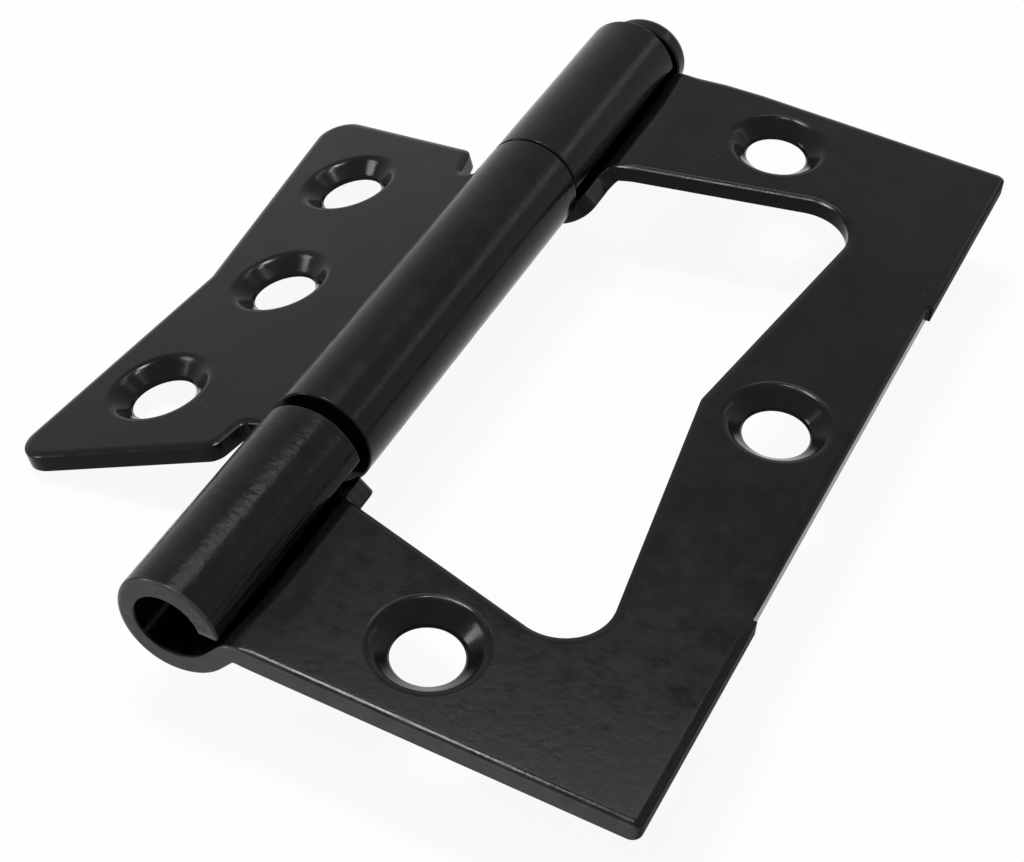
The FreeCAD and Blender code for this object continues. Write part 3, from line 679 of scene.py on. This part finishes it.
class Shader:
    # The node tree of a material or a world, with one method that adds any node
    def __init__(self, owner):
        owner.use_nodes = True
        self.tree = owner.node_tree
        self.tree.nodes.clear()

    def node(self, kind, settings=None, values=(), output=0):
        # The settings go first, then the values or links of the sockets, by name or by number
        made = self.tree.nodes.new(kind)
        for key, setting in (settings or {}).items():
            setattr(made, key, setting)
        pairs = values.items() if isinstance(values, dict) else enumerate(values)
        for key, given in pairs:
            if isinstance(given, Term):
                self.tree.links.new(given.socket, made.inputs[key])
            else:
                made.inputs[key].default_value = given
        return Term(self, made.outputs[output]) if made.outputs else made

    def noise(self, place, scale, detail, roughness):
        # Blender's own noise, about 0.5 on average
        return self.node("ShaderNodeTexNoise", {"noise_dimensions": "3D"},
                         {"Vector": place, "Scale": scale, "Detail": detail, "Roughness": roughness})

    def stretched(self, place, scale):
        # Each axis times its own number
        return self.node("ShaderNodeMapping", {"vector_type": "POINT"}, {"Vector": place, "Scale": scale})

    def part(self, place, axis):
        # One axis of a place, as a number
        return self.node("ShaderNodeSeparateXYZ", {}, [place], output=axis)

    def blend(self, factor, first, second):
        # Two colours; 0, 6 and 7 are the colour sockets of the Mix node, and 2 its result
        return self.node("ShaderNodeMix", {"data_type": "RGBA"}, {0: factor, 6: first, 7: second}, output=2)

    def plainRays(self):
        # 1 for a ray that shows the background: from the camera, or by gloss or transmission
        camera, glossy, passing = (self.node("ShaderNodeLightPath", output=name) for name in (
            "Is Camera Ray", "Is Glossy Ray", "Is Transmission Ray"))
        return (camera + glossy + passing).maths("MINIMUM", 1.0)


# The black coating: places in millimetres of the developed sheet, scales in features per metre
blackCoat = {
    "dark": (0.0022, 0.0022, 0.0024, 1),
    "worn": (0.0085, 0.0085, 0.0089, 1),
    "dust": (0.05, 0.05, 0.052, 1),
    "endFace": (0.09, 0.09, 0.092, 1),  # painted light: the leaf's near end face is made lighter grey for the bright floor it reflects
    "paintedLightEndAt": (-37.8, -38.05),
    "paintedLightEndCover": (0.75, 0.8),        # how far it covers, and how much of that is mottle
    "nearAt": (-8, -26),                # the coat's colour grows lighter, its mottle and relief stronger towards the near end
    "farShare": 0.35,                   # from this share at the far end
    "rollAt": (-1, -6),                 # and relief grows round the roll
    "longEdgeAt": (34.7, 34.9),
    "linesAlong": (-13.0, -14.4),       # lines drawn along the pin beside the near roll's cut end
    "linesAcross": (-22, -27),
    "lines": (1.0, 2, 0.5),             # each noise: features per metre, detail and roughness
    "lineStretch": (3.2, 0.07, 1.0),
    "haze": (60, 1, 0.5),
    "cloud": (190, 3, 0.55),
    "mottle": (700, 3, 0.6),
    "pebble": (1500, 2, 0.5),
    "grain": (5200, 2, 0.5),
    "fineSpeck": (2100, 1, 0.4),
    "coarseSpeck": (140, 1, 0.5),
    "lineMask": (0.42, 0.6),
    "fineMask": (0.77, 0.81),
    "coarseMask": (0.48, 0.6),
    "wear": (1.1, 0.9, 0.9, 0.15, 0.24),  # by mottle, cloud and haze, by the near end, and all over
    "dustCover": 0.6,
    "roughness": 0.18,
    "roughPatches": (0.12, 0.3, 0.5),   # by cloud and mottle, and on the long edge
    "relief": (0.42, 0.2, 0.1),         # by pebble, mottle and grain
    "specular": 0.11,                   # low, because the white surroundings show in full in it
    "bump": (0.3, 0.00006),             # strength and depth
}


def makeCoating():
    # Each effect is a weight times a noise less its middle, 0.5, or times a mask between two places
    c = blackCoat
    material = bpy.data.materials.new("blackCoating")
    coat = Shader(material)
    place = coat.node("ShaderNodeTexCoord", output="Object")
    sheet = coat.node("ShaderNodeAttribute", {
        "attribute_type": "GEOMETRY", "attribute_name": "sheetPlace"}, output="Vector")
    along, across = coat.part(sheet, 0), coat.part(sheet, 1)
    haze, cloud, mottle, pebble, grain, fine, coarse = (coat.noise(place, *c[name]) for name in (
        "haze", "cloud", "mottle", "pebble", "grain", "fineSpeck", "coarseSpeck"))
    near = c["farShare"] + across.between(*c["nearAt"]) * (1 - c["farShare"])
    lines = coat.noise(coat.stretched(sheet, c["lineStretch"]), *c["lines"]).between(*c["lineMask"])
    lines = lines * along.between(*c["linesAlong"]) * across.between(*c["linesAcross"])
    specks = fine.between(*c["fineMask"]) * coarse.between(*c["coarseMask"])

    # Colour: worn patches at three scales, specks of dust and painted light on the leaf's near end face
    byMottle, byCloud, byHaze, byEnd, base = c["wear"]
    patches = (mottle - 0.5) * byMottle * near + (cloud - 0.5) * byCloud + (haze - 0.5) * byHaze
    # Lighter towards the near end, by the near mask
    patches = (patches + near * byEnd + base).maths("MAXIMUM", 0.0)
    cover, uneven = c["paintedLightEndCover"]
    # Painted light: the leaf's near end face is mixed towards a lighter grey, for the bright floor it
    # reflects
    endFace = across.between(*c["paintedLightEndAt"]) * (cover + (mottle - 0.5) * uneven)
    colour = coat.blend(patches, c["dark"], c["worn"])
    colour = coat.blend(specks * c["dustCover"], colour, c["dust"])
    colour = coat.blend(endFace, colour, c["endFace"])

    # Gloss and relief
    byCloud, byMottle, byEdge = c["roughPatches"]
    roughness = c["roughness"] + (cloud - 0.5) * byCloud + (mottle - 0.5) * byMottle
    roughness = roughness + along.between(*c["longEdgeAt"]) * byEdge
    byPebble, byMottle, byGrain = c["relief"]
    height = pebble * (along.between(*c["rollAt"]) + byPebble) + mottle * byMottle + grain * byGrain
    strength, depth = c["bump"]
    bump = coat.node("ShaderNodeBump", {}, {
        "Strength": strength, "Distance": depth, "Height": height * near + lines})
    surface = coat.node("ShaderNodeBsdfPrincipled", {}, {
        "Base Color": colour, "Roughness": roughness, "Specular IOR Level": c["specular"], "Normal": bump})
    coat.node("ShaderNodeOutputMaterial", {}, {"Surface": surface})
    return material


# Floor, light and white surroundings, in metres and degrees
studio = {
    "floorSize": 3.0,
    "floorColour": (0.82, 0.82, 0.82, 1),
    "floorWhite": 0.93,     # how far the floor is shown as plain white
    "worldLight": 0.08,
    "lampDistance": 0.8,
    "lamps": [
        # name, azimuth from +Y towards +X and elevation, size, radiance
        ("overhead", (-73, 73), (0.14, 0.14), 62.0),
        ("top", (-16, 84), (0.09, 0.065), 55.0),
        ("softBack", (-14, 61), (0.36, 0.15), 5.2),
        ("lowBack", (34, 29), (0.34, 0.1), 1.9),
        ("leftSide", (-106, 28), (0.2, 0.2), 16.0),
    ],
}


def makeStudio():
    # The floor touches the part's lowest point. It and the world are plain white to every ray that shows
    # them, and a lamp's power is its radiance times pi times its area
    low = cadBox[0].z
    size = studio["floorSize"] / 2
    mesh = bpy.data.meshes.new("floor")
    corners = [(x * size, y * size, low) for x, y in ((-1, -1), (1, -1), (1, 1), (-1, 1))]
    mesh.from_pydata(corners, [], [(0, 1, 2, 3)])
    floor = bpy.data.objects.new("floor", mesh)
    scene.collection.objects.link(floor)
    material = bpy.data.materials.new("palePaper")
    paper = Shader(material)
    seen = paper.plainRays() * studio["floorWhite"]
    plain = paper.node("ShaderNodeBsdfDiffuse", {}, {"Color": studio["floorColour"]})
    white = paper.node("ShaderNodeEmission", {}, {"Color": (1, 1, 1, 1), "Strength": 1.0})
    surface = paper.node("ShaderNodeMixShader", {}, {0: seen, 1: plain, 2: white})
    paper.node("ShaderNodeOutputMaterial", {}, {"Surface": surface})
    mesh.materials.append(material)

    scene.world = bpy.data.worlds.new("studioWorld")
    sky = Shader(scene.world)
    light = sky.node("ShaderNodeBackground", {}, {"Color": (1, 1, 1, 1), "Strength": studio["worldLight"]})
    white = sky.node("ShaderNodeBackground", {}, {"Color": (1, 1, 1, 1), "Strength": 1.0})
    both = sky.node("ShaderNodeMixShader", {}, {0: sky.plainRays(), 1: light, 2: white})
    sky.node("ShaderNodeOutputWorld", {}, {"Surface": both})

    for name, (azimuth, elevation), size, radiance in studio["lamps"]:
        data = bpy.data.lights.new(name, "AREA")
        data.shape, data.size, data.size_y = "RECTANGLE", size[0], size[1]
        data.energy = radiance * math.pi * size[0] * size[1]
        lamp = bpy.data.objects.new(name, data)
        scene.collection.objects.link(lamp)
        a, e = math.radians(azimuth), math.radians(elevation)
        outward = Vector((math.sin(a) * math.cos(e), math.cos(a) * math.cos(e), math.sin(e)))
        lamp.location = outward * studio["lampDistance"]
        lamp.rotation_euler = (-outward).to_track_quat("-Z", "Y").to_euler()
    scene.view_settings.view_transform = "Standard"


makeCamera()
print("camera placed")
pieces = [makeOuterLeaf(), makeInnerLeaf(), makePin()]
print("pieces", [(p.name, len(p.data.vertices), len(p.data.polygons)) for p in pieces])
coating = makeCoating()
for piece in pieces:
    piece.data.materials.append(coating)
for node in frame["nodes"].values():
    node.data.materials.clear()
    node.data.materials.append(coating)
print("coating made")
makeStudio()
print("studio lit")
